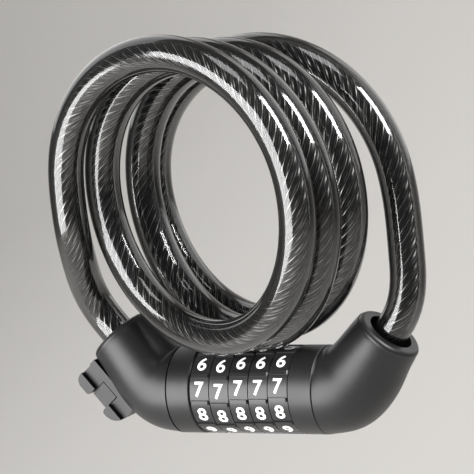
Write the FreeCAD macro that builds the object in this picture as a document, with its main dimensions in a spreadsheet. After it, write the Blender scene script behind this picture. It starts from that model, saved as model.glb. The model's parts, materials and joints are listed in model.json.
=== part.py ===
import FreeCAD
import Part
import Sketcher
import math
import os

# Cable lock with five number dials, hung up by its coiled cable. Millimetres, +Z up.
# The origin is the hanging point: the underside of the coil's tops, over the middle of the barrel.
# The barrel's axis lies along X, axis_drop below the origin; the digits face -Y; the bolt pulls out along +X.

Vector = FreeCAD.Vector

DIMENSIONS = (
    ("axis_drop", 110.0, "barrel axis below the hanging point"),
    ("outer_radius", 15.0, "outside of dials, collars and the elbows' wide ends"),
    ("dial_pitch", 7.3, "from one dial to the next"),
    ("dial_gap", 0.3, "between neighbouring dials"),
    ("dial_fit", 0.2, "radial gap between a dial and its gate ring"),
    ("dial_bevel", 0.45, "bevel on a dial's two edges"),
    ("panel_depth", 0.55, "digit panels below the ribs"),
    ("rib_width", 1.4, "rib between two digit panels"),
    ("digit_turn", 6.2, "panels turned past the keyways, in degrees"),
    ("collar_width", 9.0, "length of each collar with its gap"),
    ("collar_bevel", 0.4, "bevel on the collars' edges"),
    ("seam_gap", 0.1, "between a collar and what it faces"),
    ("barrel_radius", 7.5, "outside of the barrel"),
    ("barrel_bore", 5.0, "radius of the barrel's bore"),
    ("running_gap", 0.08, "radial gap of what turns or slides"),
    ("seat_gap", 0.05, "gap of what is fitted and stays"),
    ("slot_gap", 0.3, "gap beside a bolt tooth in the barrel's slot"),
    ("ring_wall", 1.6, "gate ring's wall over the teeth's groove"),
    ("ring_gap", 0.1, "between neighbouring gate rings"),
    ("groove_gap", 0.4, "between a tooth's tip and the groove's wall"),
    ("groove_width", 2.2, "length of the groove in which a tooth stands"),
    ("gate_width", 4.8, "gate that lets a tooth through"),
    ("notch_radius", 0.7, "notches that the detent strip clicks in"),
    ("strip_width", 3.0, "detent strip across"),
    ("strip_depth", 1.0, "groove of the detent strip in the barrel"),
    ("key_width", 2.6, "key that locks a gate ring to its dial"),
    ("key_height", 1.2, "height of that key"),
    ("tooth_height", 1.5, "bolt tooth above the barrel"),
    ("tooth_width", 3.0, "bolt tooth across"),
    ("tooth_length", 1.6, "bolt tooth along the axis"),
    ("bolt_tip", 1.75, "bolt's end beyond the first dial"),
    ("spring_space", 1.3, "room for the disc spring"),
    ("spring_sheet", 0.4, "thickness of the springs' steel"),
    ("socket_depth", 6.5, "socket in an elbow's wide end"),
    ("bend_inner", 1.0, "inner radius of an elbow's bend"),
    ("bend_angle", 50.0, "turn of an elbow in degrees"),
    ("neck_length", 18.0, "straight part of an elbow"),
    ("rim_wall", 3.5, "elbow's wall round the mouth"),
    ("rim_round", 1.6, "rounding of the mouth's outer edge"),
    ("mouth_gap", 1.9, "between the cable and the mouth's recess"),
    ("mouth_depth", 6.0, "depth of that recess"),
    ("cable_radius", 6.0, "outside of the cable's sheath"),
    ("rope_radius", 3.75, "steel wire rope"),
    ("rope_gap", 0.15, "between the rope and the sheath"),
    ("sheath_depth", 12.0, "sheath's end below the mouth"),
    ("ferrule_wall", 1.5, "wall of the crimped ferrule"),
    ("ferrule_length", 7.0, "length of the ferrule"),
    ("grub_radius", 1.5, "grub screw that holds a ferrule"),
    ("pin_radius", 1.25, "pin that holds the barrel or the bolt"),
    ("stop_radius", 1.0, "stop pin of the left collar"),
    ("stop_depth", 3.0, "slot of the stop pin, and its hole"),
    ("shoe_length", 22.0, "bracket shoe along the neck"),
    ("shoe_start", 1.5, "shoe's upper end below the mouth"),
    ("shoe_width", 14.0, "shoe's flange across"),
    ("shoe_stem", 10.0, "shoe's stem across"),
    ("shoe_sink", 0.8, "shoe's flat seat inside the mouth's radius"),
    ("shoe_height", 11.0, "shoe from its seat to its outer face"),
    ("shoe_flange", 3.6, "thickness of the shoe's flange"),
    ("shoe_base", 2.6, "thickness of the shoe's base plate"),
    ("shoe_round", 3.2, "rounding of the shoe's upper outer end"),
    ("shoe_heel", 5.8, "rounding of its lower outer end"),
    ("shoe_lip", 1.2, "rounding of the lobes beside the button"),
    ("screw_radius", 1.1, "shank of a shoe screw"),
    ("screw_head", 2.0, "radius of its head"),
    ("screw_sink", 2.4, "its head below the shoe's outer face"),
    ("button_length", 6.8, "release button along the neck"),
    ("button_gap", 0.3, "between the button and the shoe"),
    ("button_travel", 1.0, "travel of the release button"),
    ("button_sink", 1.1, "button below the shoe's outer face"),
    ("guide_radius", 1.6, "guide stem under the button"),
    ("coil_turned", 72.7, "direction of the coil's axis, degrees from +X"),
    ("coil_lean", 3.3, "rise of the coil's axis in degrees"),
)

DIALS = 5
DIGITS = 10
# How far each dial is turned from the open code at rest, in degrees.
DIAL_TURN = (0.0, 2.9, -1.9, -2.7, -5.2)

# The cable's turns, from the left elbow to the right one: how far each side lies across and along
# the coil's axis, left and right in turn, and how high the bottoms and tops lie over the dials' top.
SIDE_ACROSS = (-45.5, 54.0, -41.3, 52.6, -41.4, 48.7, -47.6, 53.5)
SIDE_ALONG = (-31.5, -25.3, -18.8, -12.6, 0.0, 5.0, 11.3, 24.3)
TURN_HEIGHT = (10.2, 105.3, 8.8, 102.3, 5.9, 99.3, 5.7, 98.2, -0.6)

# Sizes that follow from the driving ones.
DERIVED = (
    ("half_stack", "Dims.dial_pitch * %d / 2" % DIALS, "middle of the dials to their end"),
    ("seam", "half_stack + Dims.collar_width", "middle of the dials to the elbows' seams"),
    ("elbow_face", "seam + Dims.seam_gap", "middle of the dials to an elbow's wide end"),
    ("pin_place", "elbow_face + Dims.socket_depth / 2", "middle of the dials to a cross pin"),
    ("barrel_end", "seam - Dims.seam_gap", "barrel's right end"),
    ("bolt_end", "half_stack + Dims.bolt_tip", "middle of the dials to the bolt's tip"),
    ("tooth_radius", "Dims.barrel_radius + Dims.tooth_height", "tip of a bolt tooth from the axis"),
    ("groove_radius", "tooth_radius + Dims.groove_gap", "groove in which a bolt tooth stands"),
    ("ring_radius", "groove_radius + Dims.ring_wall", "outside of a gate ring"),
    ("ring_bore", "Dims.barrel_radius + Dims.running_gap", "bore of what turns on the barrel"),
    ("dial_bore", "ring_radius + Dims.dial_fit", "inside of a dial"),
    ("key_radius", "ring_radius + Dims.key_height", "top of a gate ring's key"),
    ("slot_half", "Dims.tooth_width / 2 + Dims.slot_gap", "half the slot that the teeth run in"),
    ("panel_floor", "Dims.outer_radius - Dims.panel_depth", "floor of a digit panel from the axis"),
    ("stop_reach", "(Dims.barrel_radius + Dims.outer_radius) / 2", "stop pin from the axis"),
    ("stop_side", "stop_reach * sqrt(0.5)", "stop pin's offset in front of the axis and above it"),
    ("sheath_bore", "Dims.rope_radius + Dims.rope_gap", "inside of the sheath"),
    ("ferrule_radius", "Dims.rope_radius + Dims.ferrule_wall", "outside of the ferrule"),
    ("ferrule_middle", "Dims.sheath_depth + Dims.ferrule_length / 2", "ferrule's middle below the mouth"),
    ("mouth_radius", "Dims.cable_radius + Dims.mouth_gap", "recess round the cable"),
    ("rim_radius", "mouth_radius + Dims.rim_wall", "outside of an elbow's mouth"),
    ("rim_band", "Dims.rim_round + 0.3", "straight band round the mouth"),
    ("taper_length", "Dims.neck_length - rim_band", "neck up to the band"),
    ("bend_radius", "Dims.outer_radius + Dims.bend_inner", "bend of an elbow's centre line"),
    ("rim_x", "elbow_face + bend_radius * sin(Dims.bend_angle) + Dims.neck_length * cos(Dims.bend_angle)",
     "mouth's centre from the middle of the dials"),
    ("rim_z", "bend_radius * (1 - cos(Dims.bend_angle)) + Dims.neck_length * sin(Dims.bend_angle)",
     "mouth's centre over the barrel's axis"),
    ("grub_x", "rim_x - ferrule_middle * cos(Dims.bend_angle)", "grub screw along X"),
    ("grub_z", "rim_z - ferrule_middle * sin(Dims.bend_angle)", "grub screw over the barrel's axis"),
    ("grub_length", "rim_radius - ferrule_radius - 0.4", "length of a grub screw"),
    ("shoe_seat", "rim_radius - Dims.shoe_sink", "shoe's flat seat from the neck's axis"),
    ("shoe_top", "shoe_seat + Dims.shoe_height", "shoe's outer face from the neck's axis"),
    ("shoe_floor", "shoe_seat + Dims.shoe_base", "top of the shoe's base plate"),
    ("shoe_end", "Dims.shoe_start + Dims.shoe_length", "shoe's lower end below the mouth"),
    ("shoe_middle", "Dims.shoe_start + Dims.shoe_length / 2", "shoe's middle below the mouth"),
    ("lobe", "(Dims.shoe_length - Dims.button_length) / 2 - Dims.button_gap", "length of one of the shoe's lobes"),
    ("upper_screw", "Dims.shoe_start + lobe / 2", "upper screw below the mouth"),
    ("lower_screw", "shoe_end - lobe / 2", "lower screw below the mouth"),
    ("screw_reach", "shoe_seat - 3", "tips of the screws from the neck's axis"),
    ("button_top", "shoe_top - Dims.button_sink", "button's outer face from the neck's axis"),
    ("button_under", "shoe_floor + Dims.button_travel + Dims.button_gap", "button's underside"),
)

document = FreeCAD.newDocument("CableLock")
dims = document.addObject("Spreadsheet::Sheet", "Dims")
for row, (alias, amount, note) in enumerate(DIMENSIONS, 1):
    dims.set("A%d" % row, note)
    dims.set("B%d" % row, str(amount))
    dims.setAlias("B%d" % row, alias)
fits = document.addObject("Spreadsheet::Sheet", "Fits")
for row, (alias, formula, note) in enumerate(DERIVED, 1):
    fits.set("A%d" % row, note)
    fits.setAlias("B%d" % row, alias)
    fits.set("B%d" % row, "=" + formula)
document.recompute()
parts = []


def value(text):
    """The number that an expression on the sheets' sizes gives."""
    result = fits.evalExpression(text)
    return float(getattr(result, "Value", result))


def place(item, x="0", y="0", z="0", axis=None, angle="0"):
    """Put an item at a place in the barrel's frame, turned about an axis."""
    if axis is not None:
        item.Placement = FreeCAD.Placement(Vector(), FreeCAD.Rotation(axis, 1.0))
        item.setExpression("Placement.Rotation.Angle", angle)
    item.setExpression("Placement.Base.x", x)
    item.setExpression("Placement.Base.y", y)
    item.setExpression("Placement.Base.z", "%s - Dims.axis_drop" % z)


def at_rim(item, side):
    """Put an item at an elbow's mouth: its +Z points out of the mouth, its X lies in the bend's plane."""
    place(item, "%d * Fits.rim_x" % side, "0", "Fits.rim_z", Vector(0, 1, 0), "%d * (90 - Dims.bend_angle)" % side)


def new_body(label):
    body = document.addObject("PartDesign::Body", label)
    body.Label = label
    parts.append(body)
    return body


def origin_feature(body, role):
    """One of the body's own planes or axes."""
    return [feature for feature in body.Origin.OriginFeatures if feature.Role == role][0]


def new_sketch(body, name, role, offset="0"):
    """A sketch on one of the body's own planes, moved along the plane's normal."""
    sketch = body.newObject("Sketcher::SketchObject", "%s_%s" % (body.Name, name))
    sketch.AttachmentSupport = [(origin_feature(body, role), "")]
    sketch.MapMode = "FlatFace"
    sketch.setExpression("AttachmentOffset.Base.z", offset)
    return sketch


def tilted_sketch(body, name, along, up, angle):
    """A sketch whose plane faces +X and is then turned up by an angle, at a place in the bend's plane."""
    sketch = new_sketch(body, name, "YZ_Plane", along)
    sketch.AttachmentOffset = FreeCAD.Placement(Vector(), FreeCAD.Rotation(Vector(-1, 0, 0), 1.0))
    sketch.setExpression("AttachmentOffset.Rotation.Angle", angle)
    sketch.setExpression("AttachmentOffset.Base.y", up)
    return sketch


def cut(body, sketch, length, reverse=False):
    """Cut a sketched outline out, against its plane's normal unless reversed."""
    feature = body.newObject("PartDesign::Pocket", "%s_pocket" % sketch.Name)
    feature.Profile = sketch
    feature.Reversed = reverse
    feature.setExpression("Length", length)
    return feature


def draw_outline(sketch, corners):
    """A closed outline of straight lines, each corner tied to two expressions."""
    points = [Vector(value(across), value(up), 0) for across, up in corners]
    first = sketch.GeometryCount
    for index, point in enumerate(points):
        sketch.addGeometry(Part.LineSegment(point, points[(index + 1) % len(points)]), False)
    for index, (across, up) in enumerate(corners):
        line = first + index
        following = first + (index + 1) % len(points)
        sketch.addConstraint(Sketcher.Constraint("Coincident", line, 2, following, 1))
        for kind, text in (("DistanceX", across), ("DistanceY", up)):
            number = sketch.addConstraint(Sketcher.Constraint(kind, -1, 1, line, 1, value(text)))
            sketch.setExpression("Constraints[%d]" % number, text)


def draw_box(sketch, low_x, high_x, low_y, high_y):
    draw_outline(sketch, ((low_x, low_y), (high_x, low_y), (high_x, high_y), (low_x, high_y)))


def draw_circle(sketch, across, up, radius):
    """A circle whose centre and radius are tied to expressions."""
    centre = Vector(value(across), value(up), 0)
    circle = sketch.addGeometry(Part.Circle(centre, Vector(0, 0, 1), value(radius)), False)
    for kind, text in (("DistanceX", across), ("DistanceY", up)):
        number = sketch.addConstraint(Sketcher.Constraint(kind, -1, 1, circle, 3, value(text)))
        sketch.setExpression("Constraints[%d]" % number, text)
    number = sketch.addConstraint(Sketcher.Constraint("Radius", circle, value(radius)))
    sketch.setExpression("Constraints[%d]" % number, radius)


def revolve(body, name, corners):
    """A solid of revolution about X; the corners are pairs of x and radius."""
    sketch = new_sketch(body, name, "XZ_Plane")
    draw_outline(sketch, corners)
    feature = body.newObject("PartDesign::Revolution", "%s_%s_turned" % (body.Name, name))
    feature.Profile = sketch
    feature.ReferenceAxis = (sketch, ["H_Axis"])
    feature.Angle = 360.0
    return feature


def groove(body, name, corners, angle, turned="0"):
    """Cut part of a ring about X, evenly to both sides of the XZ plane or of a plane turned from it."""
    sketch = new_sketch(body, name, "XZ_Plane")
    sketch.AttachmentOffset = FreeCAD.Placement(Vector(), FreeCAD.Rotation(Vector(1, 0, 0), 1.0))
    sketch.setExpression("AttachmentOffset.Rotation.Angle", turned)
    draw_outline(sketch, corners)
    feature = body.newObject("PartDesign::Groove", "%s_%s_groove" % (body.Name, name))
    feature.Profile = sketch
    feature.ReferenceAxis = (sketch, ["H_Axis"])
    feature.Midplane = True
    feature.setExpression("Angle", angle)
    return feature


def pad(body, name, role, offset, length, draw, midplane=False):
    """Raise a sketched outline along its plane's normal."""
    sketch = new_sketch(body, name, role, offset)
    draw(sketch)
    feature = body.newObject("PartDesign::Pad", "%s_%s_pad" % (body.Name, name))
    feature.Profile = sketch
    feature.Midplane = midplane
    feature.setExpression("Length", length)
    return feature


def pocket(body, name, role, offset, length, draw, reverse=False, midplane=False):
    """Cut a sketched outline out, against its plane's normal unless reversed."""
    sketch = new_sketch(body, name, role, offset)
    draw(sketch)
    feature = body.newObject("PartDesign::Pocket", "%s_%s_pocket" % (body.Name, name))
    feature.Profile = sketch
    feature.Reversed = reverse
    feature.Midplane = midplane
    feature.setExpression("Length", length)
    return feature


def round_edges(body, name, base, radius, *middles):
    """Round the edges of the last feature whose middles lie at the given places."""
    document.recompute()
    feature = body.newObject("PartDesign::Fillet", "%s_%s_fillet" % (body.Name, name))
    feature.Base = (base, ["Edge%d" % number for number, edge in enumerate(base.Shape.Edges, 1)
                           if min(edge.BoundBox.Center.distanceToPoint(middle) for middle in middles) < 0.1])
    feature.setExpression("Radius", radius)


def polar(body, feature, count):
    """Repeat a feature evenly about X."""
    pattern = body.newObject("PartDesign::PolarPattern", "%s_round" % feature.Name)
    pattern.Originals = [feature]
    pattern.Axis = (origin_feature(body, "X_Axis"), [""])
    pattern.Angle = 360.0
    pattern.Occurrences = count
    body.Tip = pattern
    return pattern


def make_dial(index):
    """A number dial: a ring with ten sunk panels between raised ribs, and ten keyways in its bore."""
    body = new_body("dial_%d" % (index + 1))
    place(body, axis=Vector(1, 0, 0), angle=str(DIAL_TURN[index]))
    start = "(%d * Dims.dial_pitch - Fits.half_stack + Dims.dial_gap / 2)" % index
    end = "(%d * Dims.dial_pitch - Fits.half_stack - Dims.dial_gap / 2)" % (index + 1)
    low = "Dims.outer_radius - Dims.dial_bevel"
    revolve(body, "ring", (
        (start, "Fits.dial_bore"), (end, "Fits.dial_bore"), (end, low), (end + " - Dims.dial_bevel", "Dims.outer_radius"),
        (start + " + Dims.dial_bevel", "Dims.outer_radius"), (start, low)))

    # The panels stand off the keyways, so that a digit faces forward while the gates are on top.
    before = start + " - 1"
    beyond = end + " + 1"
    above = "Dims.outer_radius + 1"
    panel = groove(body, "panel", ((before, "Fits.panel_floor"), (beyond, "Fits.panel_floor"), (beyond, above), (before, above)),
                   "%g deg - 2 * asin(Dims.rib_width / 2 / Dims.outer_radius)" % (360 / DIGITS), "Dims.digit_turn")
    polar(body, panel, DIGITS)
    key = "(Dims.key_width / 2 + Dims.seat_gap)"
    keyway = pocket(body, "keyway", "YZ_Plane", end, "Dims.dial_pitch", lambda sketch: draw_box(
        sketch, "-" + key, key, "Fits.dial_bore - 1", "Fits.key_radius + Dims.seat_gap"))
    polar(body, keyway, DIGITS)


def make_gate_ring(index):
    """A gate ring inside a dial: its land stops the bolt's tooth unless its gate stands over the tooth."""
    body = new_body("gate_ring_%d" % (index + 1))
    place(body, axis=Vector(1, 0, 0), angle=str(DIAL_TURN[index]))
    start = "(%d * Dims.dial_pitch - Fits.half_stack + Dims.ring_gap / 2)" % index
    end = "(%d * Dims.dial_pitch - Fits.half_stack - Dims.ring_gap / 2)" % (index + 1)
    land = "(%s + Dims.groove_width)" % start
    revolve(body, "ring", (
        (start, "Fits.groove_radius"), (land, "Fits.groove_radius"), (land, "Fits.ring_bore"), (end, "Fits.ring_bore"),
        (end, "Fits.ring_radius"), (start, "Fits.ring_radius")))
    pocket(body, "gate", "YZ_Plane", end, "Dims.dial_pitch", lambda sketch: draw_box(
        sketch, "-Dims.gate_width / 2", "Dims.gate_width / 2", "Dims.barrel_radius - 1", "Fits.groove_radius"))
    notch = pocket(body, "notch", "YZ_Plane", end, "Dims.dial_pitch", lambda sketch: draw_circle(
        sketch, "0", "-Fits.ring_bore", "Dims.notch_radius"))
    polar(body, notch, DIGITS)
    key = pad(body, "key", "YZ_Plane", "%s + Dims.dial_gap" % start,
              "Dims.dial_pitch - Dims.ring_gap - 2 * Dims.dial_gap",
              lambda sketch: draw_box(sketch, "-Dims.key_width / 2", "Dims.key_width / 2",
                                      "Fits.ring_radius - Dims.ring_wall / 2", "Fits.key_radius"))
    polar(body, key, 2)


def make_barrel():
    """The fixed tube that the dials turn on, open on top for the bolt's teeth and solid at its left end."""
    body = new_body("barrel")
    place(body)
    left = "(-Fits.elbow_face - Dims.socket_depth)"
    blind = "(-Fits.bolt_end - 1)"
    revolve(body, "tube", (
        (left, "0"), (blind, "0"), (blind, "Dims.barrel_bore"), ("Fits.barrel_end", "Dims.barrel_bore"),
        ("Fits.barrel_end", "Dims.barrel_radius"), (left, "Dims.barrel_radius")))
    pocket(body, "slot", "XY_Plane", "0", "Dims.barrel_radius + 1", lambda sketch: draw_box(
        sketch, "Dims.ring_gap / 2 - Fits.half_stack", "Fits.barrel_end + 1", "-Fits.slot_half", "Fits.slot_half"),
        reverse=True)
    groove_half = "(Dims.strip_width / 2 + 0.2)"
    pocket(body, "strip_groove", "XY_Plane", "-Dims.barrel_radius - 1", "Dims.strip_depth + 1.1",
           lambda sketch: draw_box(sketch, "-Fits.half_stack", "Fits.half_stack", "-" + groove_half, groove_half),
           reverse=True)
    pocket(body, "pin_hole", "XZ_Plane", "0", "4 * Dims.barrel_radius", lambda sketch: draw_circle(
        sketch, "-Fits.pin_place", "0", "Dims.pin_radius + Dims.seat_gap"), midplane=True)


def make_detent_strip():
    """A leaf spring in the barrel's lower groove, with one bump for each gate ring."""
    body = new_body("detent_strip")
    place(body)
    top = "-Dims.barrel_radius + Dims.strip_depth"
    low = top + " - Dims.spring_sheet"
    bump = "-Dims.barrel_radius + Dims.running_gap"
    corners = [("-Fits.half_stack + 0.3", top), ("-Fits.half_stack + 0.3", low)]
    for index in range(DIALS):
        middle = "%g * Dims.dial_pitch - Fits.half_stack + Dims.groove_width / 2" % (index + 0.5)
        corners += [(middle + " - 1.2", low), (middle + " - 0.4", bump), (middle + " + 0.4", bump), (middle + " + 1.2", low)]
    corners += [("Fits.half_stack - 0.3", low), ("Fits.half_stack - 0.3", top)]
    pad(body, "strip", "XZ_Plane", "0", "Dims.strip_width", lambda sketch: draw_outline(sketch, corners),
        midplane=True)


def make_right_collar():
    """The fixed collar on the barrel's right end, with a keyway for the teeth and a seat for the disc spring."""
    body = new_body("right_collar")
    place(body)
    start = "(Fits.half_stack + Dims.seam_gap)"
    end = "(Fits.seam - Dims.seam_gap / 2)"
    bore = "Dims.barrel_radius + Dims.seat_gap"
    seat = "(%s + Dims.spring_space)" % start
    low = "Dims.outer_radius - Dims.collar_bevel"
    revolve(body, "ring", (
        (start, "Fits.dial_bore"), (seat, "Fits.dial_bore"), (seat, bore), (end, bore), (end, low),
        (end + " - Dims.collar_bevel", "Dims.outer_radius"), (start + " + Dims.collar_bevel", "Dims.outer_radius"),
        (start, low)))
    pocket(body, "keyway", "YZ_Plane", end, "Dims.collar_width", lambda sketch: draw_box(
        sketch, "-Fits.slot_half", "Fits.slot_half", "Dims.barrel_radius - 1", "Fits.groove_radius"))


def make_disc_spring():
    """A coned washer between the last gate ring and the right collar."""
    body = new_body("disc_spring")
    place(body)
    start = "Fits.half_stack"
    inner = "Fits.groove_radius + 0.1"
    rise = "(Dims.spring_space - Dims.spring_sheet)"
    revolve(body, "cone", (
        (start, "Fits.ring_radius"), ("%s + %s" % (start, rise), inner),
        (start + " + Dims.spring_space", inner), (start + " + Dims.spring_sheet", "Fits.ring_radius")))


def make_reset_collar():
    """The left collar, which turns a quarter on the barrel to change the code, slotted for its stop pin."""
    body = new_body("reset_collar")
    place(body)
    start = "(-Fits.seam + Dims.seam_gap / 2)"
    end = "(-Fits.half_stack - Dims.seam_gap)"
    low = "Dims.outer_radius - Dims.collar_bevel"
    revolve(body, "ring", (
        (start, "Fits.ring_bore"), (end, "Fits.ring_bore"), (end, low),
        (end + " - Dims.collar_bevel", "Dims.outer_radius"),
        (start + " + Dims.collar_bevel", "Dims.outer_radius"), (start, low)))
    inner = "Fits.stop_reach - Dims.stop_radius - 0.3"
    outer = "Fits.stop_reach + Dims.stop_radius + 0.3"
    floor = start + " + Dims.stop_depth"
    # A quarter turn, and the pin's own width at both ends.
    groove(body, "stop", ((start + " - 1", inner), (floor, inner), (floor, outer), (start + " - 1", outer)),
           "94 deg + 2 * asin(Dims.stop_radius / Fits.stop_reach)")


def make_lock_bolt():
    """The bolt: a round bar with five teeth on top and a flange that sits in the right elbow."""
    body = new_body("lock_bolt")
    place(body)
    shaft = "Dims.barrel_bore - Dims.running_gap"
    flange = "Fits.elbow_face + Dims.seam_gap"
    end = "Fits.elbow_face + Dims.socket_depth - Dims.seat_gap"
    wide = "Dims.barrel_radius - Dims.seat_gap"
    revolve(body, "bar", (
        ("-Fits.bolt_end", "0"), (end, "0"), (end, wide), (flange, wide), (flange, shaft),
        ("-Fits.bolt_end + 1.2", shaft), ("-Fits.bolt_end", shaft + " - 1.2")))
    start = "(Dims.ring_gap / 2 - Fits.half_stack + (Dims.groove_width - Dims.tooth_length) / 2)"
    tooth = pad(body, "tooth", "YZ_Plane", start, "Dims.tooth_length", lambda sketch: draw_box(
        sketch, "-Dims.tooth_width / 2", "Dims.tooth_width / 2", "Dims.barrel_bore / 2", "Fits.tooth_radius"))
    row = body.newObject("PartDesign::LinearPattern", "lock_bolt_teeth")
    row.Originals = [tooth]
    row.Direction = (origin_feature(body, "X_Axis"), [""])
    row.setExpression("Length", "%d * Dims.dial_pitch" % (DIALS - 1))
    row.Occurrences = DIALS
    body.Tip = row
    pocket(body, "pin_hole", "XZ_Plane", "0", "4 * Dims.barrel_radius", lambda sketch: draw_circle(
        sketch, "Fits.pin_place", "0", "Dims.pin_radius + Dims.seat_gap"), midplane=True)


def make_elbow(label, side):
    """A housing that bends up from the barrel and narrows to a round mouth for the cable."""
    body = new_body(label)
    place(body)
    sections = []
    # Each section: its share of the bend, its share of the neck, and how much of the narrowing it has.
    for number, (turn, along, narrow) in enumerate((
            (0.0, 0.0, 0.0), (0.34, 0.0, 0.05), (0.68, 0.0, 0.17), (1.0, 0.0, 0.36), (1.0, 0.5, 0.68), (1.0, 1.0, 1.0))):
        angle = "%g * Dims.bend_angle" % turn
        sketch = tilted_sketch(
            body, "section_%d" % number,
            "%d * (Fits.elbow_face + Fits.bend_radius * sin(%s) + %g * Fits.taper_length * cos(Dims.bend_angle))" % (
                side, angle, along),
            "Fits.bend_radius * (1 - cos(%s)) + %g * Fits.taper_length * sin(Dims.bend_angle)" % (angle, along),
            angle if side > 0 else "180 - " + angle)
        draw_circle(sketch, "0", "0", "Dims.outer_radius - %g * (Dims.outer_radius - Fits.rim_radius)" % narrow)
        sections.append(sketch)
    loft = body.newObject("PartDesign::AdditiveLoft", "%s_loft" % label)
    loft.Profile = sections[0]
    loft.Sections = sections[1:]
    loft.Ruled = False

    def mouth_circle(name, radius):
        sketch = tilted_sketch(body, name, "%d * Fits.rim_x" % side, "Fits.rim_z",
                               "Dims.bend_angle" if side > 0 else "180 - Dims.bend_angle")
        draw_circle(sketch, "0", "0", radius)
        return sketch

    band = body.newObject("PartDesign::Pad", "%s_band" % label)
    band.Profile = mouth_circle("band_circle", "Fits.rim_radius")
    band.Reversed = True
    band.setExpression("Length", "Fits.rim_band")
    round_edges(body, "rim", band, "Dims.rim_round", Vector(side * fits.rim_x, 0, fits.rim_z))
    cut(body, mouth_circle("mouth", "Fits.mouth_radius"), "Dims.mouth_depth")
    cut(body, mouth_circle("sheath_bore", "Dims.cable_radius + Dims.seat_gap"), "Dims.sheath_depth + Dims.seat_gap")
    cut(body, mouth_circle("ferrule_bore", "Fits.ferrule_radius + Dims.seat_gap"),
        "Dims.sheath_depth + Dims.ferrule_length + 3 * Dims.seat_gap")
    pocket(body, "socket", "YZ_Plane", "%d * Fits.elbow_face" % side, "Dims.socket_depth + Dims.seat_gap",
           lambda sketch: draw_circle(sketch, "0", "0", "Dims.barrel_radius + Dims.seat_gap"), reverse=side > 0)
    # The pin goes in from behind and stops short of the front.
    pocket(body, "pin_hole", "XZ_Plane", "-Dims.outer_radius - 1", "2 * Dims.outer_radius - 4",
           lambda sketch: draw_circle(sketch, "%d * Fits.pin_place" % side, "0", "Dims.pin_radius + Dims.seat_gap"),
           reverse=True)
    pocket(body, "grub_hole", "XZ_Plane", "-Dims.outer_radius - 1", "Dims.outer_radius + 1 - Fits.ferrule_radius / 2",
           lambda sketch: draw_circle(sketch, "%d * Fits.grub_x" % side, "Fits.grub_z",
                                      "Dims.grub_radius + Dims.seat_gap"), reverse=True)
    return body


def make_cross_pin(label, side):
    """A plain pin through an elbow and what sits in its socket, driven in from behind."""
    body = new_body(label)
    place(body)
    pad(body, "pin", "XZ_Plane", "-Dims.outer_radius + 1", "2 * Dims.outer_radius - 7", lambda sketch: draw_circle(
        sketch, "%d * Fits.pin_place" % side, "0", "Dims.pin_radius"))


def make_grub_screw(label, side):
    """A headless screw that bears on the ferrule from behind, with a hexagon socket."""
    body = new_body(label)
    at_rim(body, side)
    start = "-Fits.ferrule_radius - Dims.seat_gap - Fits.grub_length"
    pad(body, "shank", "XZ_Plane", start, "Fits.grub_length", lambda sketch: draw_circle(
        sketch, "0", "-Fits.ferrule_middle", "Dims.grub_radius"))
    ring = [("%.6f * Dims.grub_radius" % (0.55 * math.cos(math.radians(60 * corner))),
             "%.6f * Dims.grub_radius - Fits.ferrule_middle" % (0.55 * math.sin(math.radians(60 * corner))))
            for corner in range(6)]
    pocket(body, "hexagon", "XZ_Plane", start, "Dims.grub_radius", lambda sketch: draw_outline(sketch, ring),
           reverse=True)


def make_ferrule(label, side):
    """The sleeve crimped on the wire rope's end."""
    body = new_body(label)
    at_rim(body, side)

    def draw(sketch):
        draw_circle(sketch, "0", "0", "Fits.ferrule_radius")
        draw_circle(sketch, "0", "0", "Dims.rope_radius + Dims.seat_gap")

    pad(body, "sleeve", "XY_Plane", "-Dims.sheath_depth - Dims.seat_gap - Dims.ferrule_length",
        "Dims.ferrule_length", draw)


def make_stop_pin():
    """The pin in the left elbow's face that ends the reset collar's turn."""
    body = new_body("stop_pin")
    place(body)
    pad(body, "pin", "YZ_Plane", "-Fits.elbow_face - Dims.stop_depth", "2 * Dims.stop_depth - 0.4",
        lambda sketch: draw_circle(sketch, "-Fits.stop_side", "Fits.stop_side", "Dims.stop_radius"))


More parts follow.
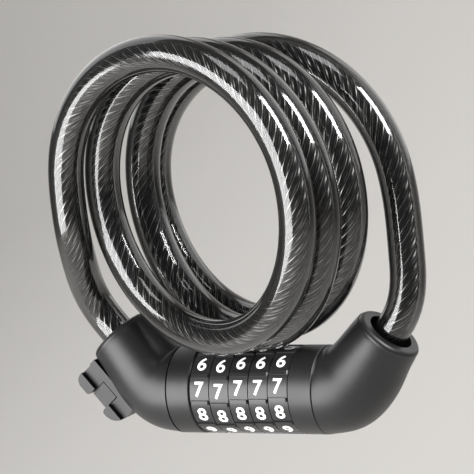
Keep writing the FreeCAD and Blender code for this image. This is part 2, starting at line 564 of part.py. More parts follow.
def make_shoe():
    """The bracket shoe on the left elbow's outer side: a base plate and two rounded lobes with a flange."""
    body = new_body("bracket_shoe")
    at_rim(body, -1)
    seat = "(-Fits.shoe_seat - Dims.seat_gap)"
    top = "-Fits.shoe_top"
    high = "-Dims.shoe_start"
    low = "-Fits.shoe_end"
    block = pad(body, "block", "XZ_Plane", "0", "Dims.shoe_width",
                lambda sketch: draw_box(sketch, top, seat, low, high), midplane=True)
    round_edges(body, "upper_end", block, "Dims.shoe_round", Vector(-fits.shoe_top, 0, -dims.shoe_start))
    round_edges(body, "heel", body.Tip, "Dims.shoe_heel", Vector(-fits.shoe_top, 0, -fits.shoe_end))
    # The stem under the flange is narrower, on both sides.
    for number, (low_y, high_y) in enumerate((("Dims.shoe_stem / 2", "Dims.shoe_width"),
                                              ("-Dims.shoe_width", "-Dims.shoe_stem / 2"))):
        pocket(body, "waist_%d" % number, "YZ_Plane", top + " + Dims.shoe_flange",
               "Dims.shoe_height - Dims.shoe_flange - Dims.shoe_base", lambda sketch: draw_box(
                   sketch, low_y, high_y, low + " - 1", high + " + 1"), reverse=True)
    # The channel across, in which the release button sits.
    half = "(Dims.button_length / 2 + Dims.button_gap)"
    channel = pocket(body, "channel", "YZ_Plane", top, "Fits.shoe_top - Fits.shoe_floor", lambda sketch: draw_box(
        sketch, "-Dims.shoe_width", "Dims.shoe_width", "-Fits.shoe_middle - " + half, "-Fits.shoe_middle + " + half),
        reverse=True)
    round_edges(body, "lips", channel, "Dims.shoe_lip",
                *(Vector(-fits.shoe_top, 0, -fits.shoe_middle + way * value(half)) for way in (-1, 1)))
    pocket(body, "guide_hole", "YZ_Plane", top, "Fits.shoe_top", lambda sketch: draw_circle(
        sketch, "0", "-Fits.shoe_middle", "Dims.guide_radius + Dims.button_gap"), reverse=True)
    pocket(body, "screw_holes", "YZ_Plane", top, "Fits.shoe_top", screw_circles("Dims.screw_radius + Dims.seat_gap"),
           reverse=True)
    pocket(body, "head_seats", "YZ_Plane", top, "Dims.screw_sink + 1.7", screw_circles("Dims.screw_head + Dims.seat_gap"), reverse=True)


def screw_circles(radius, sign="-"):
    """A drawing of two circles where the shoe's screws stand along the neck."""
    def draw(sketch):
        for spot in ("Fits.upper_screw", "Fits.lower_screw"):
            draw_circle(sketch, "0", sign + spot, radius)
    return draw


def make_shoe_screws():
    """Two screws that hold the shoe on the elbow."""
    body = new_body("shoe_screws")
    at_rim(body, -1)
    under = "(Dims.screw_sink + 1.6)"
    pad(body, "heads", "YZ_Plane", "-Fits.shoe_top + Dims.screw_sink", "1.6", screw_circles("Dims.screw_head"))
    pad(body, "shanks", "YZ_Plane", "-Fits.shoe_top + " + under, "Fits.shoe_top - %s - Fits.screw_reach" % under,
        screw_circles("Dims.screw_radius"))


def make_release_button():
    """The spring-backed button between the shoe's lobes, with a guide stem."""
    body = new_body("release_button")
    at_rim(body, -1)
    half = "(Dims.shoe_stem / 2 + Dims.button_gap)"
    pad(body, "cap", "YZ_Plane", "-Fits.button_top", "Fits.button_top - Fits.button_under", lambda sketch: draw_box(
        sketch, "-" + half, half, "-Fits.shoe_middle - Dims.button_length / 2",
        "-Fits.shoe_middle + Dims.button_length / 2"))
    pad(body, "guide", "YZ_Plane", "-Fits.button_under - 0.5", "Dims.button_travel + 2.2",
        lambda sketch: draw_circle(sketch, "0", "-Fits.shoe_middle", "Dims.guide_radius"))


def make_button_spring():
    """A coned washer under the release button, round its guide stem."""
    body = new_body("button_spring")
    along = "Fits.rim_x - Fits.shoe_middle * cos(Dims.bend_angle) + Fits.shoe_floor * sin(Dims.bend_angle)"
    height = "Fits.rim_z - Fits.shoe_middle * sin(Dims.bend_angle) - Fits.shoe_floor * cos(Dims.bend_angle)"
    place(body, "-(%s)" % along, "0", height, Vector(0, 1, 0), "90 + Dims.bend_angle")
    low = "Dims.seat_gap"
    high = "(Dims.button_travel + Dims.button_gap - Dims.seat_gap)"
    inner = "Dims.guide_radius + 0.4"
    outer = "Dims.button_length / 2 - 0.5"
    revolve(body, "cone", (
        (low, outer), (high + " - Dims.spring_sheet", inner), (high, inner), (low + " + Dims.spring_sheet", outer)))


def fit_left_elbow(body):
    """Cut the shoe's flat seat, the holes of its screws and of the button's stem, and the stop pin's hole."""

    def seat_sketch(name):
        # The plane of the seat: it faces away from the bend, and its +Y runs down the neck.
        return tilted_sketch(body, name, "-Fits.rim_x - Fits.shoe_seat * sin(Dims.bend_angle)",
                             "Fits.rim_z - Fits.shoe_seat * cos(Dims.bend_angle)", "270 - Dims.bend_angle")

    seat = seat_sketch("seat")
    draw_box(seat, "-Dims.shoe_width / 2 - 0.1", "Dims.shoe_width / 2 + 0.1",
             "Dims.shoe_start - 0.1", "Fits.shoe_end + 0.1")
    cut(body, seat, "Dims.outer_radius", reverse=True)
    screws = seat_sketch("screw_holes")
    screw_circles("Dims.screw_radius + Dims.seat_gap", "")(screws)
    cut(body, screws, "Fits.shoe_seat - Fits.screw_reach + 0.2")
    stem = seat_sketch("guide_hole")
    draw_circle(stem, "0", "Fits.shoe_middle", "Dims.guide_radius + Dims.button_gap")
    cut(body, stem, "1.4")
    pocket(body, "stop_hole", "YZ_Plane", "-Fits.elbow_face", "Dims.stop_depth + 0.2", lambda sketch: draw_circle(
        sketch, "-Fits.stop_side", "Fits.stop_side", "Dims.stop_radius + Dims.seat_gap"))


def swing(values, place_in_turn):
    """Smooth travel between listed ends: half a cosine wave from each value to the next."""
    index = max(0, min(int(math.floor(place_in_turn)), len(values) - 2))
    share = (1 - math.cos(math.pi * (place_in_turn - index))) / 2
    return values[index] + (values[index + 1] - values[index]) * share


def coil_point(turn):
    """The centre line at a turn counted from the first right side; left sides are at the half turns."""
    turned = math.radians(dims.coil_turned)
    lean = math.radians(dims.coil_lean)
    along = Vector(math.cos(turned) * math.cos(lean), math.sin(turned) * math.cos(lean), math.sin(lean))
    across = Vector(math.sin(turned), -math.cos(turned), 0)
    up = along.cross(across)
    if up.z < 0:
        up = up * -1
    halves = (turn + 0.5) * 2
    return (across * swing(SIDE_ACROSS, halves) + along * swing(SIDE_ALONG, halves)
            + up * (dims.outer_radius + swing(TURN_HEIGHT, halves + 0.5)) - Vector(0, 0, dims.axis_drop))


def coil_tangent(turn):
    step = 0.0005
    return (coil_point(turn + step) - coil_point(turn - step)).normalize()


def biarc(start, start_tangent, end, end_tangent):
    """Two arcs that leave one point and reach another with the tangents that they are given."""
    chord = end - start
    both = start_tangent + end_tangent
    square = 2 * (1 - start_tangent.dot(end_tangent))
    reach = (math.sqrt(chord.dot(both) ** 2 + square * chord.dot(chord)) - chord.dot(both)) / square
    joint = (start + start_tangent * reach + end - end_tangent * reach) * 0.5
    return (arc(start, start_tangent, joint), arc(end, end_tangent * -1, joint))


def arc(start, tangent, end):
    """The arc that leaves a point along a tangent and ends at another point: its three points."""
    chord = end - start
    direction = Vector(chord).normalize()
    side = tangent - direction * tangent.dot(direction)
    half_angle = math.acos(max(-1.0, min(1.0, tangent.dot(direction)))) / 2
    bulge = side.normalize() * (chord.Length / 2 * math.tan(half_angle))
    return (start, (start + end) * 0.5 + bulge, end)


def rim_frame(side):
    """An elbow mouth's centre and the direction out of it."""
    angle = math.radians(dims.bend_angle)
    return (Vector(side * fits.rim_x, 0, fits.rim_z - dims.axis_drop),
            Vector(side * math.cos(angle), 0, math.sin(angle)))


SPLIT_TURN = 2.75
turns = [-0.5 + 0.25 * step for step in range(15)]


def cable_arcs():
    """The cable's arcs in order, in two runs: up to the last top, and from there to the right elbow."""
    left, out_left = rim_frame(-1)
    right, out_right = rim_frame(1)
    stations = [(left, out_left)] + [(coil_point(turn), coil_tangent(turn)) for turn in turns] + [(right, out_right * -1)]
    runs = ([], [])
    for number in range(len(stations) - 1):
        (start, start_tangent), (end, end_tangent) = stations[number:number + 2]
        first, second = biarc(start, start_tangent, end, end_tangent)
        run = runs[0] if number < 1 + turns.index(SPLIT_TURN) else runs[1]
        run.append(first)
        run.append((second[2], second[1], second[0]))
    return runs


def cable_wire(arcs, side, depth):
    """The arcs as one wire, with a straight end run down into an elbow."""
    rim, out = rim_frame(side)
    edges = [Part.Arc(*points).toShape() for points in arcs]
    inside = rim - out * depth
    if side < 0:
        edges.insert(0, Part.LineSegment(inside, rim).toShape())
    else:
        edges.append(Part.LineSegment(rim, inside).toShape())
    return Part.Wire(edges)


def tube(wire, radius):
    """A round tube along a wire."""
    edge = wire.Edges[0]
    start = edge.valueAt(edge.FirstParameter)
    direction = edge.tangentAt(edge.FirstParameter)
    profile = Part.Wire([Part.makeCircle(radius, start, direction)])
    return wire.makePipeShell([profile], True, False)


def add_shape(label, shape):
    item = document.addObject("Part::Feature", label)
    item.Label = label
    item.Shape = shape
    parts.append(item)


def make_cable():
    """The sheath and the wire rope inside it, each in two stretches that meet at the last top."""
    first, second = cable_arcs()
    for label, arcs, side in (("coil", first, -1), ("right_run", second, 1)):
        sheath_wire = cable_wire(arcs, side, dims.sheath_depth)
        rope_depth = dims.sheath_depth + dims.ferrule_length
        rope_wire = cable_wire(arcs, side, rope_depth)
        outer = tube(sheath_wire, dims.cable_radius)
        bore = tube(cable_wire(arcs, side, dims.sheath_depth), fits.sheath_bore)
        add_shape("sheath_" + label, outer.cut(bore))
        add_shape("rope_" + label, tube(rope_wire, dims.rope_radius))
        area = math.pi * (dims.cable_radius ** 2)
        print("%s: wire %.1f mm, tube volume over section times length %.4f" % (
            label, sheath_wire.Length, outer.Volume / (area * sheath_wire.Length)))
    radii = [Part.Arc(*points).toShape().Curve.Radius for points in first + second]
    print("cable arc radii: " + ", ".join("%.1f" % radius for radius in radii))
    samples = cable_wire(first + second, -1, dims.sheath_depth).discretize(Distance=2.0)
    apart = min((samples[i].distanceToPoint(samples[k]) for i in range(len(samples))
                 for k in range(i + 30, len(samples))))
    print("least gap of the cable to itself: %.2f mm" % (apart - 2 * dims.cable_radius))


make_barrel()
make_detent_strip()
for number in range(DIALS):
    make_dial(number)
    make_gate_ring(number)
make_right_collar()
make_disc_spring()
make_reset_collar()
make_lock_bolt()
fit_left_elbow(make_elbow("left_elbow", -1))
make_elbow("right_elbow", 1)
make_cross_pin("barrel_pin", -1)
make_cross_pin("bolt_pin", 1)
for label, side in (("left", -1), ("right", 1)):
    make_grub_screw(label + "_grub_screw", side)
    make_ferrule(label + "_ferrule", side)
make_stop_pin()
make_shoe()
make_shoe_screws()
make_release_button()
make_button_spring()
make_cable()
document.recompute()

problems = []
for item in document.Objects:
    if "Invalid" in item.State or "Error" in item.State:
        problems.append("%s is %s" % (item.Label, item.State))
for item in parts:
    if item.Shape.isNull() or not item.Shape.isValid():
        problems.append("%s has no valid shape" % item.Label)
if problems:
    raise RuntimeError("; ".join(problems))

os.makedirs("parts", exist_ok=True)
for item in parts:
    item.Shape.exportStep(os.path.join("parts", item.Label + ".step"))
print("%d parts written" % len(parts))
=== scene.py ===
"""Looks of the combination cable lock: coiled cable, digits, finishes, light and camera."""
import json
import math

import bmesh
import bpy
import numpy as np
from mathutils import Matrix, Vector


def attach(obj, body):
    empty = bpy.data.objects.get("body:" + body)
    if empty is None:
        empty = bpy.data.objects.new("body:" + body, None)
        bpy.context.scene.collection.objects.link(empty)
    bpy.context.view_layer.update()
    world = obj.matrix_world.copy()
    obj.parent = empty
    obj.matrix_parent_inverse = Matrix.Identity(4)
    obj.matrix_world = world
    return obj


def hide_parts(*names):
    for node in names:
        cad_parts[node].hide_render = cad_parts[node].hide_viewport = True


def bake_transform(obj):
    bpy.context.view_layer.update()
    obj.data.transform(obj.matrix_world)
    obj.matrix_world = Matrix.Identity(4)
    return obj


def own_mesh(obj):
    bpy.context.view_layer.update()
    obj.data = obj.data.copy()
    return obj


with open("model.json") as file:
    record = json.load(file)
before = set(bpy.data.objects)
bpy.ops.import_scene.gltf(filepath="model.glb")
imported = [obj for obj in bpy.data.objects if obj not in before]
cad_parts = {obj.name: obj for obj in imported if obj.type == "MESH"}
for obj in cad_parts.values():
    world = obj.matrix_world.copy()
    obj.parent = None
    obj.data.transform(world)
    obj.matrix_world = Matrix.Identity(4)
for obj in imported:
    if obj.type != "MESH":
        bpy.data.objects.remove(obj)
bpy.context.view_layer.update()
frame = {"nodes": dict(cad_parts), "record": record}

# Sizes of the lock that the visible pieces follow, in metres and degrees, as the CAD source has them.
AXIS_DROP = 0.110
OUTER_RADIUS = 0.015
DIAL_PITCH = 0.0073
PANEL_DEPTH = 0.00055
DIGIT_TURN = 6.2
DIAL_TURN = (0.0, 2.9, -1.9, -2.7, -5.2)
BEND_ANGLE = math.radians(50)
MOUTH_ALONG = 0.051177
MOUTH_UP = 0.019504 - AXIS_DROP
CABLE_RADIUS = 0.006
ROPE_RADIUS = 0.00375
SHEATH_DEPTH = 0.012
ROPE_DEPTH = 0.019
COIL_TURNED = math.radians(72.7)
COIL_LEAN = math.radians(3.3)
SIDE_ACROSS = (-0.0455, 0.0540, -0.0413, 0.0526, -0.0414, 0.0487, -0.0476, 0.0535)
SIDE_ALONG = (-0.0315, -0.0253, -0.0188, -0.0126, 0.0, 0.0050, 0.0113, 0.0243)
TURN_HEIGHT = (0.0102, 0.1053, 0.0088, 0.1023, 0.0059, 0.0993, 0.0057, 0.0982, -0.0006)
FIRST_TURN, LAST_TURN, SPLIT_TURN = -0.5, 3.0, 2.75
POINTS_PER_TURN = 24
# Inside an elbow the cable is straight up to this depth, and these points lead it on to the coil and back.
STRAIGHT_END = 0.006
LEFT_LEAD = ((-0.0613, 0.0, -0.0784), (-0.0538, -0.0196, -0.0549))
RIGHT_LEAD = ((0.0574, 0.0044, -0.0571), (0.0590, 0.0, -0.0811))

# A low point is taken this far under the place where the cable's two stretches meet.
BEND_DROP = 0.008
# The rope's strands, and the length in which one goes once round the rope.
STRANDS = 8
ROPE_LAY = 0.030
# How far apart the points of the line and the rings of the rope and the sheath stand, and the sides that a
# strand and the sheath have.
LINE_STEP, ROPE_STEP, SHEATH_STEP = 0.0005, 0.0012, 0.0025
STRAND_SIDES, SHEATH_SIDES = 5, 40

# The digits: their size, and a digit is widened as if it filled at least this share of the width.
DIGIT_HEIGHT = 0.0051
DIGIT_WIDTH = 0.0033
NARROWEST = 0.6
# How far the outline is widened and the print stands up, and how far apart the cuts across it lie.
STROKE_GROWTH = 0.00010
PRINT_RISE = 0.00006
SLICE = 0.0005
# A digit's height in the font as a share of the font's size.
FONT_SHARE = 0.73
# The angle from one digit to the next, in degrees, and the digit that faces forward.
DIGIT_ANGLE = 36
FACING_DIGIT = 7

# The camera, fitted to the photograph: its azimuth, elevation and roll in degrees, the point it looks at and how
# far off it stands in metres, its focal length and picture width in pixels and its sensor's width in millimetres.
CAMERA_ANGLES = (27.23, 8.13, -5.54)
CAMERA_AIM = (-0.00198, 0, -0.05781)
CAMERA_DISTANCE = 0.85
FOCAL_LENGTH = 2532.41
PICTURE_WIDTH = 474
SENSOR_WIDTH = 36.0

# Each lamp: azimuth and elevation as direction() counts them, distance, width, height and watts.
LAMPS = (
    ("left_panel", -31, -4, 0.9, 0.78, 0.80, 30.0),
    ("upper_right_box", 75, 42, 0.9, 0.30, 0.50, 20.0),
    ("top_box", 10, 72, 1.2, 0.50, 0.50, 5.0),
    ("backdrop_left", -120, 30, 1.2, 1.2, 1.2, 6.0),
    ("backdrop_right", 150, 30, 1.2, 1.2, 1.2, 6.0),
)
LAMP_AIM = (0, 0, -0.06)
# The floor's height, its front edge, the radius of its bend into the backdrop and the backdrop's height over it.
FLOOR_HEIGHT = -0.50
FLOOR_FRONT, BACKDROP_BEND, BACKDROP_TOP = -4.0, 0.8, 4.0


def direction(azimuth, elevation):
    """The unit vector towards an azimuth, counted from -Y towards +X, and an elevation, both in degrees."""
    azimuth, elevation = math.radians(azimuth), math.radians(elevation)
    return Vector((math.sin(azimuth) * math.cos(elevation), -math.cos(azimuth) * math.cos(elevation),
                   math.sin(elevation)))


def add_camera():
    """The camera of the photograph: aimed at a point of the coil, turned about its own axis by the roll."""
    azimuth, elevation, roll = CAMERA_ANGLES
    back = direction(azimuth, elevation)
    roll = math.radians(roll)
    level = (-back).cross(Vector((0, 0, 1))).normalized()
    upright = level.cross(-back)
    right = level * math.cos(roll) + upright * math.sin(roll)
    up = upright * math.cos(roll) - level * math.sin(roll)
    lens = bpy.data.cameras.new("camera")
    lens.sensor_width = SENSOR_WIDTH
    lens.lens = FOCAL_LENGTH * SENSOR_WIDTH / PICTURE_WIDTH
    lens.clip_start, lens.clip_end = 0.05, 20.0
    camera = bpy.data.objects.new("camera", lens)
    place = Vector(CAMERA_AIM) + back * CAMERA_DISTANCE
    camera.matrix_world = Matrix.Translation(place) @ Matrix((right, up, back)).transposed().to_4x4()
    bpy.context.scene.collection.objects.link(camera)
    bpy.context.scene.camera = camera


def swing(values, at):
    """Listed values joined by half cosines: v0 + (v1 - v0) (1 - cos(pi s)) / 2 between two of them."""
    values = np.array(values)
    first = np.clip(np.floor(at).astype(int), 0, len(values) - 2)
    share = (1 - np.cos(np.pi * np.clip(at - first, 0, 1))) / 2
    return values[first] + (values[first + 1] - values[first]) * share


def coil_points(turn):
    """The coil's centre line: its axis lies turned and leaning, and each point is that axis' across vector
    times the side's offset, plus its along vector times the pitch, plus its up vector times the height."""
    along = np.array([math.cos(COIL_TURNED) * math.cos(COIL_LEAN),
                      math.sin(COIL_TURNED) * math.cos(COIL_LEAN), math.sin(COIL_LEAN)])
    across = np.array([math.sin(COIL_TURNED), -math.cos(COIL_TURNED), 0.0])
    up = np.cross(along, across)
    up = up * np.sign(up[2])
    halves = (turn - FIRST_TURN) * 2
    return (swing(SIDE_ACROSS, halves)[:, None] * across + swing(SIDE_ALONG, halves)[:, None] * along
            + (OUTER_RADIUS + swing(TURN_HEIGHT, halves + 0.5))[:, None] * up - np.array([0, 0, AXIS_DROP]))


def mouth(side):
    """An elbow mouth's centre and the direction out of it."""
    return (np.array([side * MOUTH_ALONG, 0.0, MOUTH_UP]),
            np.array([side * math.cos(BEND_ANGLE), 0.0, math.sin(BEND_ANGLE)]))


def cable_route():
    """The cable's points: straight out of the left elbow, round the coil, into the right elbow."""
    left, out_left = mouth(-1)
    right, out_right = mouth(1)
    count = round((LAST_TURN - FIRST_TURN) * POINTS_PER_TURN) + 1
    return np.vstack((
        left - out_left * ROPE_DEPTH,
        left - out_left * STRAIGHT_END,
        LEFT_LEAD,
        coil_points(np.linspace(FIRST_TURN, LAST_TURN, count)),
        RIGHT_LEAD,
        right - out_right * STRAIGHT_END,
        right - out_right * ROPE_DEPTH))


def smooth_line(points):
    """The smooth line that a quadratic NURBS spline makes of the route, as an array of points."""
    curve = bpy.data.curves.new("cable_route", "CURVE")
    curve.dimensions = "3D"
    spline = curve.splines.new("NURBS")
    spline.points.add(len(points) - 1)
    spline.points.foreach_set("co", np.column_stack((points, np.ones(len(points)))).ravel())
    spline.order_u = 3
    spline.use_endpoint_u = True
    spline.resolution_u = 6
    holder = bpy.data.objects.new("cable_route", curve)
    mesh = bpy.data.meshes.new_from_object(holder)
    line = np.empty(len(mesh.vertices) * 3)
    mesh.vertices.foreach_get("co", line)
    bpy.data.meshes.remove(mesh)
    bpy.data.objects.remove(holder)
    return line.reshape(-1, 3)


def lengths_along(line):
    """Distance from the line's start to each of its points."""
    return np.concatenate(([0.0], np.cumsum(np.linalg.norm(np.diff(line, axis=0), axis=1))))


def stretch(line, start, end, step):
    """The part of a line between two distances from its start, with points a step apart."""
    run = lengths_along(line)
    at = np.linspace(start, end, max(2, int(round((end - start) / step)) + 1))
    return at, np.column_stack([np.interp(at, run, line[:, axis]) for axis in range(3)])


def carried_frames(line):
    """Two unit vectors across the line at each point, carried along it without twist: each pair is the one
    before with its part along the new tangent taken off."""
    tangent = np.gradient(line, axis=0)
    tangent /= np.linalg.norm(tangent, axis=1)[:, None]
    side = np.empty_like(line)
    current = np.cross(tangent[0], (0.0, 1.0, 0.0))
    for number, heading in enumerate(tangent):
        current = current - heading * current.dot(heading)
        current /= np.linalg.norm(current)
        side[number] = current
    return side, np.cross(tangent, side)


def mesh_piece(name, points, faces, finish, smooth=True):
    """A mesh from arrays of points and of faces."""
    mesh = bpy.data.meshes.new(name)
    mesh.from_pydata(points.tolist(), [], faces)
    mesh.polygons.foreach_set("use_smooth", [smooth] * len(mesh.polygons))
    mesh.materials.append(finish)
    mesh.update()
    piece = bpy.data.objects.new(name, mesh)
    bpy.context.scene.collection.objects.link(piece)
    return piece


def tube(name, at, line, frames, radius, phase, finish, closed):
    """A section carried along a line: point = centre + side r cos(a) + other r sin(a), where r is the
    section's radius at its own angle and a is that angle plus the twist's phase at the ring. A flat fan can
    close an end. The UV map holds the share of the way round and the distance along in centimetres."""
    side, other = frames
    around = np.linspace(0, 2 * np.pi, len(radius), endpoint=False)
    angle = around[None, :] + phase[:, None]
    points = (line[:, None, :] + side[:, None, :] * (radius * np.cos(angle))[:, :, None]
              + other[:, None, :] * (radius * np.sin(angle))[:, :, None]).reshape(-1, 3)
    rings, count = len(line), len(radius)
    ring, place = np.meshgrid(np.arange(rings - 1), np.arange(count), indexing="ij")
    following = (place + 1) % count
    quads = np.stack((ring * count + place, ring * count + following, (ring + 1) * count + following,
                      (ring + 1) * count + place), axis=-1).reshape(-1, 4)
    faces = quads.tolist()
    if closed[0]:
        points = np.vstack((points, line[:1]))
        faces += [[len(points) - 1, (k + 1) % count, k] for k in range(count)]
    if closed[1]:
        points = np.vstack((points, line[-1:]))
        last = (rings - 1) * count
        faces += [[len(points) - 1, last + k, last + (k + 1) % count] for k in range(count)]
    piece = mesh_piece(name, points, faces, finish)
    piece.data.polygons.foreach_set("use_smooth", [len(face) == 4 for face in faces])
    layer = piece.data.uv_layers.new(name="UVMap")
    corner = np.zeros((len(piece.data.loops), 2))
    turned = np.stack((place, place + 1, place + 1, place), axis=-1).reshape(-1) / count
    run = np.stack((at[ring], at[ring], at[ring + 1], at[ring + 1]), axis=-1).reshape(-1) * 100
    corner[:len(turned)] = np.column_stack((turned, run))
    layer.data.foreach_set("uv", corner.ravel())
    return piece


class Number:
    """A number inside a material. Arithmetic on it adds Math nodes, so an expression reads as written."""

    def __init__(self, tree, socket):
        self.tree, self.socket = tree, socket

    def work(self, operation, *others):
        """A Math node's result for this number and the others."""
        node = self.tree.nodes.new("ShaderNodeMath")
        node.operation = operation
        for socket, item in zip(node.inputs, (self, *others)):
            join(self.tree, socket, item)
        return Number(self.tree, node.outputs[0])

    def __add__(self, other):
        return self.work("ADD", other)

    def __sub__(self, other):
        return self.work("SUBTRACT", other)

    def __rsub__(self, other):
        return self * -1 + other

    def __mul__(self, other):
        return self.work("MULTIPLY", other)

    __radd__, __rmul__ = __add__, __mul__

    def held(self):
        """The number kept from 0 to 1."""
        return self.work("MAXIMUM", 0.0).work("MINIMUM", 1.0)

    def ridge(self, count, fall, top):
        """A saw of so many teeth from 0 to 1, each falling from the top in its middle to both sides."""
        return ((self * count).work("FRACT") - 0.5).work("ABSOLUTE") * -fall + top


def join(tree, socket, item):
    """Feed a socket with a link or a plain value."""
    if isinstance(item, Number):
        tree.links.new(item.socket, socket)
    elif isinstance(item, bpy.types.NodeSocket):
        tree.links.new(item, socket)
    else:
        socket.default_value = item


class Finish:
    """A material with one Principled shader, and the nodes that feed it."""

    def __init__(self, name, **constants):
        self.material = bpy.data.materials.new(name)
        self.material.use_nodes = True
        self.tree = self.material.node_tree
        self.shader = self.tree.nodes["Principled BSDF"]
        self.feed(**constants)

    def feed(self, **sockets):
        """Set or link the shader's sockets: base_color feeds Base Color."""
        names = {socket.name.lower().replace(" ", "_"): socket for socket in self.shader.inputs}
        for name, item in sockets.items():
            join(self.tree, names[name], item)

    def node(self, kind, settings=None, output=0, **sockets):
        """A node of a type, with its settings and what its sockets hold; its output as a number."""
        node = self.tree.nodes.new("ShaderNode" + kind)
        for setting, value in (settings or {}).items():
            setattr(node, setting, value)
        names = {socket.name.lower().replace(" ", "_"): socket for socket in node.inputs if socket.enabled}
        for name, item in sockets.items():
            join(self.tree, names[name], item)
        return Number(self.tree, node.outputs[output])

    def place(self):
        """The piece's own coordinates."""
        return self.node("TexCoord", output=3).socket

    def noise(self, scale, detail, where=None):
        """Noise in the piece's own coordinates, or in others."""
        return self.node("TexNoise", vector=where or self.place(), scale=scale, detail=detail)

    def blend(self, share, first, second):
        """A colour between two, by a share."""
        return self.node("Mix", {"data_type": "RGBA"}, output=2, factor=share, a=first, b=second).socket

    def bump(self, height, strength, distance):
        """Make the surface look raised by a height."""
        self.feed(normal=self.node("Bump", height=height, strength=strength, distance=distance))


def moulded_plastic(name, colour, second, roughness, grain):
    """Moulded plastic: two near shades in soft clouds, a fine grain and a gloss that varies a little."""
    finish = Finish(name, ior=1.5, specular_ior_level=0.30)
    cloud = finish.noise(60.0, 3.0)
    finish.feed(base_color=finish.blend(cloud, colour, second), roughness=cloud * 0.10 + (roughness - 0.05))
    finish.bump(finish.noise(2200.0, 2.0), grain, 0.00004)
    return finish.material


def bare_metal(name, colour, second, roughness):
    """Metal with a fine grain of two near shades."""
    finish = Finish(name, metallic=1.0)
    grain = finish.noise(900.0, 2.0)
    finish.feed(base_color=finish.blend(grain, colour, second), roughness=grain * 0.12 + roughness)
    return finish.material


def sheath_finish():
    """Smoky clear sheath: dark, glossy, see-through where it faces the eye and closed towards its edges."""
    finish = Finish("cable_sheath", ior=1.5, specular_ior_level=0.75)
    facing = finish.node("LayerWeight", output=1, blend=0.5)
    cloud = finish.noise(45.0, 3.0)
    closed = (facing * 3.2 - 0.75).held()
    finish.feed(base_color=finish.blend(cloud, (0.004, 0.004, 0.004, 1), (0.009, 0.0085, 0.008, 1)),
                roughness=cloud * 0.04 + 0.07, alpha=closed * 0.35 + 0.64)
    return finish.material


def rope_finish():
    """Twisted steel wire: painted highlights on the wires' crests and painted shade in the gaps between them, in
    each strand lying along the rope.
    """
    finish = Finish("wire_rope", metallic=0.9)
    spread = finish.node("TexCoord", output=2).socket
    # Three painted highlight lines lie on each strand, the strongest on its crest, with painted shade between
    # them, and fine flecks break them up.
    around = finish.node("SeparateXYZ", vector=spread)
    painted_wire_highlights = around.ridge(3 * STRANDS, 4.5, 1.5).held() * around.ridge(STRANDS, 2.6, 1.15)
    stretched = finish.node("Mapping", vector=spread, scale=(60.0, 2.6, 1.0)).socket
    fleck = finish.noise(1.0, 2.0, stretched)
    painted_highlight_mask = (painted_wire_highlights.work("MAXIMUM", 0.0) * ((fleck - 0.40) * 5.0).held()).work("MINIMUM", 1.0)
    # The base colour is painted light: near white for the painted highlights, near black for the painted shade in
    # the gaps.
    finish.feed(base_color=finish.blend(painted_highlight_mask, (0.015, 0.015, 0.015, 1), (0.95, 0.94, 0.92, 1)),
                roughness=fleck * 0.2 + 0.25)
    return finish.material


def printed_white():
    """White printing ink, a little uneven."""
    finish = Finish("digit_white", ior=1.5)
    cloud = finish.noise(900.0, 2.0)
    finish.feed(base_color=finish.blend(cloud, (0.80, 0.80, 0.78, 1), (0.88, 0.88, 0.87, 1)),
                roughness=cloud * 0.1 + 0.40)
    return finish.material


# Each plastic: its two shades, its roughness and how deep its grain is.
PLASTICS = {
    "housing_plastic": ((0.0045, 0.0045, 0.005, 1), (0.008, 0.008, 0.0085, 1), 0.42, 0.30),
    "dial_plastic": ((0.007, 0.007, 0.0075, 1), (0.012, 0.012, 0.0125, 1), 0.34, 0.10),
    "shoe_plastic": ((0.0045, 0.0045, 0.005, 1), (0.008, 0.008, 0.008, 1), 0.50, 0.10),
}
# Each metal: its two shades and its roughness.
METALS = {
    "lock_steel": ((0.50, 0.50, 0.51, 1), (0.60, 0.60, 0.61, 1), 0.25),
    "fastener_steel": ((0.40, 0.40, 0.41, 1), (0.52, 0.52, 0.53, 1), 0.30),
    "spring_steel": ((0.42, 0.41, 0.40, 1), (0.55, 0.54, 0.52, 1), 0.28),
    "brass": ((0.62, 0.46, 0.20, 1), (0.72, 0.55, 0.27, 1), 0.28),
    "ferrule_alloy": ((0.55, 0.55, 0.54, 1), (0.66, 0.66, 0.65, 1), 0.33),
}
FINISHES = {"cable_sheath": sheath_finish(), "wire_rope": rope_finish()}
FINISHES.update((slot, moulded_plastic(slot, *look)) for slot, look in PLASTICS.items())
FINISHES.update((slot, bare_metal(slot, *look)) for slot, look in METALS.items())


def put_finishes():
    """Give each of the frame's pieces the finish of its material slot."""
    for entry in frame["record"]["subparts"]:
        node = frame["nodes"][entry["node"]]
        node.data.materials.clear()
        node.data.materials.append(FINISHES[entry["material_slot"]])


def strand_outline():
    """The rope's section: a ring of touching round strands, as radii. A strand of radius s at the distance c
    from the middle has the radius c cos(a) + sqrt(s^2 - c^2 sin(a)^2) at the angle a from its own middle."""
    angle = np.linspace(-np.pi / STRANDS, np.pi / STRANDS, STRAND_SIDES + 1)[:-1]
    small = ROPE_RADIUS / (1 + 1 / math.sin(math.pi / STRANDS))
    centre = ROPE_RADIUS - small
    lobe = centre * np.cos(angle) + np.sqrt(np.maximum(small ** 2 - (centre * np.sin(angle)) ** 2, 0))
    return np.tile(lobe, STRANDS)


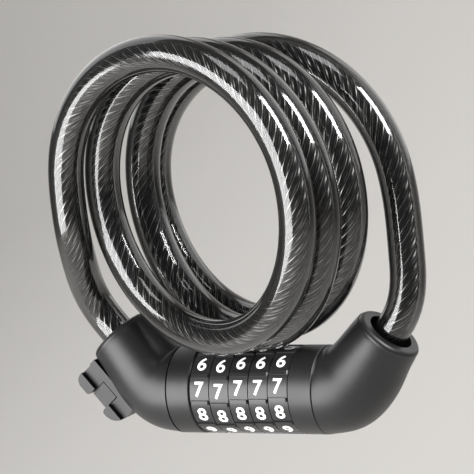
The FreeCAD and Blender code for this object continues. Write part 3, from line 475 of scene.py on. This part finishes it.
def add_cable():
    """The cable from inside the left elbow to inside the right one, in two stretches that meet at the last top:
    one is attached to the lock body and the other runs on from it to the bolt's elbow."""
    line = smooth_line(cable_route())
    run = lengths_along(line)
    meeting = coil_points(np.array([SPLIT_TURN]))[0]
    split = run[np.argmin(np.linalg.norm(line - meeting, axis=1))]
    whole = run[-1]
    inside = ROPE_DEPTH - SHEATH_DEPTH
    at, dense = stretch(line, 0.0, whole, LINE_STEP)
    frames = carried_frames(dense)
    low, high = meeting - np.array([0, 0, BEND_DROP]), mouth(1)[0]

    def section(start, end, step):
        """The rings of one stretch: distances, centres and the two directions across."""
        distances, centres = stretch(line, start, end, step)
        across = tuple(np.column_stack([np.interp(distances, at, vectors[:, axis]) for axis in range(3)])
                       for vectors in frames)
        return distances, centres, across

    # The see-through sheath stays open where its stretches meet, so that no disc shows inside it.
    stretches = (("coil", 0.0, split, (True, False)), ("right_run", split, whole, (False, True)))
    for label, start, end, closed in stretches:
        distances, centres, across = section(start, end, ROPE_STEP)
        rope = tube("rope_" + label + "_strands", distances, centres, across, strand_outline(),
                    2 * np.pi * distances / ROPE_LAY, FINISHES["wire_rope"], (True, True))
        distances, centres, across = section(max(start, inside), min(end, whole - inside), SHEATH_STEP)
        sheath = tube("sheath_" + label + "_tube", distances, centres, across,
                      np.full(SHEATH_SIDES, CABLE_RADIUS), 0 * distances, FINISHES["cable_sheath"], closed)
        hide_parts("rope_" + label)
        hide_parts("sheath_" + label)
        for piece in (rope, sheath):
            if label == "coil":
                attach(piece, "lock_body")
            else:
                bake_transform(piece)


def flat_digit(digit):
    """One digit as a flat raised print about the origin: its points, and its faces."""
    letters = bpy.data.curves.new("digit", "FONT")
    letters.body = str(digit)
    letters.align_x = "CENTER"
    letters.size = DIGIT_HEIGHT / FONT_SHARE
    letters.offset = STROKE_GROWTH
    letters.extrude = PRINT_RISE
    letters.resolution_u = 4
    holder = bpy.data.objects.new("digit", letters)
    mesh = bpy.data.meshes.new_from_object(holder)
    # Cut across at even heights, so that the print can follow the curved panel.
    work = bmesh.new()
    work.from_mesh(mesh)
    for level in np.arange(-2 * SLICE, 13 * SLICE, SLICE):
        bmesh.ops.bisect_plane(work, geom=work.verts[:] + work.edges[:] + work.faces[:],
                               plane_co=(0, level, 0), plane_no=(0, 1, 0))
    work.to_mesh(mesh)
    work.free()
    points = np.empty(len(mesh.vertices) * 3)
    mesh.vertices.foreach_get("co", points)
    points = points.reshape(-1, 3)
    faces = [tuple(face.vertices) for face in mesh.polygons]
    bpy.data.meshes.remove(mesh)
    bpy.data.objects.remove(holder)
    middle = (points.max(0) + points.min(0)) / 2
    size = points.max(0) - points.min(0)
    widening = DIGIT_WIDTH / max(size[0], DIGIT_WIDTH * NARROWEST)
    return (points - middle) * (widening, DIGIT_HEIGHT / size[1], 1), faces


def add_digits():
    """White digits on the dials' panels, wrapped round the panel's floor: a flat point (x, y) of a digit
    lands at the radius floor + rise and at the angle y / floor from the panel's middle."""
    white = printed_white()
    floor = OUTER_RADIUS - PANEL_DEPTH
    digits = [flat_digit(digit) for digit in range(10)]
    for dial, dial_turn in enumerate(DIAL_TURN):
        along = (dial - 2) * DIAL_PITCH
        points, faces, count = [], [], 0
        for digit, (shape, shape_faces) in enumerate(digits):
            # The facing digit's panel ends near the level, and the digits grow downwards.
            middle = math.radians(DIGIT_TURN + dial_turn - DIGIT_ANGLE / 2
                                  + DIGIT_ANGLE * (digit - FACING_DIGIT))
            angle = middle - shape[:, 1] / floor
            radius = floor + shape[:, 2]
            points.append(np.column_stack((shape[:, 0] + along, -radius * np.cos(angle),
                                           -radius * np.sin(angle) - AXIS_DROP)))
            faces += [tuple(index + count for index in face) for face in shape_faces]
            count += len(shape)
        piece = mesh_piece("dial_%d_digits" % (dial + 1), np.vstack(points), faces, white, smooth=False)
        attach(piece, "dial_%d" % (dial + 1))


def add_floor():
    """A pale floor under the hanging lock that runs up into a backdrop by a quarter round."""
    finish = Finish("pale_floor", roughness=0.9)
    cloud = finish.noise(1.7, 3.0)
    finish.feed(base_color=finish.blend(cloud, (0.52, 0.505, 0.485, 1), (0.56, 0.545, 0.525, 1)))
    across = np.linspace(-4, 4, 9)
    bend = np.linspace(0, np.pi / 2, 13)
    quarter = BACKDROP_BEND * np.column_stack((1 + np.sin(bend), 1 - np.cos(bend)))
    profile = np.vstack(([[FLOOR_FRONT, 0.0]], quarter, [[2 * BACKDROP_BEND, BACKDROP_TOP]]))
    count = len(across)
    points = np.column_stack((np.tile(across, len(profile)), np.repeat(profile, count, axis=0)))
    points[:, 2] += FLOOR_HEIGHT
    row, place = np.meshgrid(np.arange(len(profile) - 1), np.arange(count - 1), indexing="ij")
    faces = (row * count + place).reshape(-1, 1) + np.array([0, 1, count + 1, count])
    floor = mesh_piece("floor", points, faces.tolist(), finish.material)


def add_light():
    """Soft lamps that face the lock, or light the backdrop, and a weak even light from all round."""
    for name, azimuth, elevation, distance, wide, tall, watts in LAMPS:
        lamp = bpy.data.lights.new(name, "AREA")
        lamp.shape, lamp.size, lamp.size_y, lamp.energy = "RECTANGLE", wide, tall, watts
        holder = bpy.data.objects.new(name, lamp)
        back = direction(azimuth, elevation)
        turned = (-back).to_track_quat("-Z", "Y").to_matrix().to_4x4()
        holder.matrix_world = Matrix.Translation(Vector(LAMP_AIM) + back * distance) @ turned
        bpy.context.scene.collection.objects.link(holder)
    world = bpy.data.worlds.new("room")
    world.use_nodes = True
    world.node_tree.nodes["Background"].inputs["Color"].default_value = (0.95, 0.97, 1.0, 1)
    world.node_tree.nodes["Background"].inputs["Strength"].default_value = 0.10
    bpy.context.scene.world = world
    bpy.context.scene.view_settings.view_transform = "Standard"


add_camera()
put_finishes()
add_cable()
add_digits()
add_floor()
add_light()
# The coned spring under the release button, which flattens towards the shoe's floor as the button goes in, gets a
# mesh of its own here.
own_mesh(frame["nodes"]["button_spring"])
